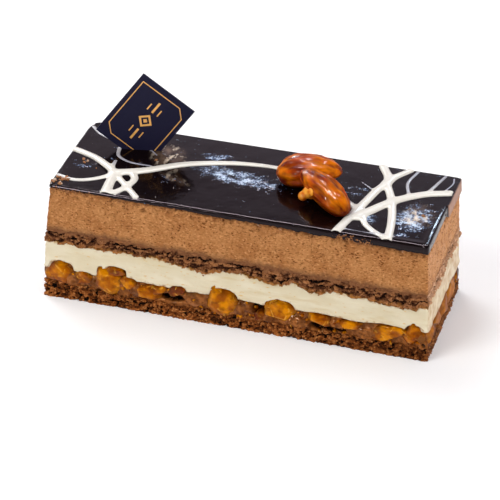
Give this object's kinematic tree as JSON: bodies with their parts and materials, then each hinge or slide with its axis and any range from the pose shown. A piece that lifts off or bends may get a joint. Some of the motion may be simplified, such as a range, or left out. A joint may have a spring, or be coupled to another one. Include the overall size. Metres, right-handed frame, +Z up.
{
  "type": "almond crunch entremet",
  "caption": "Long cut bar of layered cake with sponge, nut crunch, cream and mousse under a dark mirror glaze, topped with white drizzle, caramelised almonds and a blank decor card.",
  "frame": {"origin": "centre of the cake's foot, on the surface that it stands on", "axes": "+X along the long side towards the end with crossed drizzle, -Y the front cut side, +Z up"},
  "size_m": [0.1572, 0.0558, 0.0828],
  "materials": {
    "base_sponge": "matte",
    "almond_crunch": "gloss",
    "cream": "satin",
    "thin_sponge": "matte",
    "mousse": "matte",
    "glaze": "mirror gloss",
    "almond_back": "gloss",
    "almond_front": "gloss",
    "card": "satin"
  },
  "bodies": {
    "root": {"base_sponge": "base_sponge", "almond_crunch": "almond_crunch", "cream": "cream", "thin_sponge": "thin_sponge", "mousse": "mousse", "glaze": "glaze", "almond_back": "almond_back", "almond_front": "almond_front", "card": "card"}
  },
  "joints": []
}
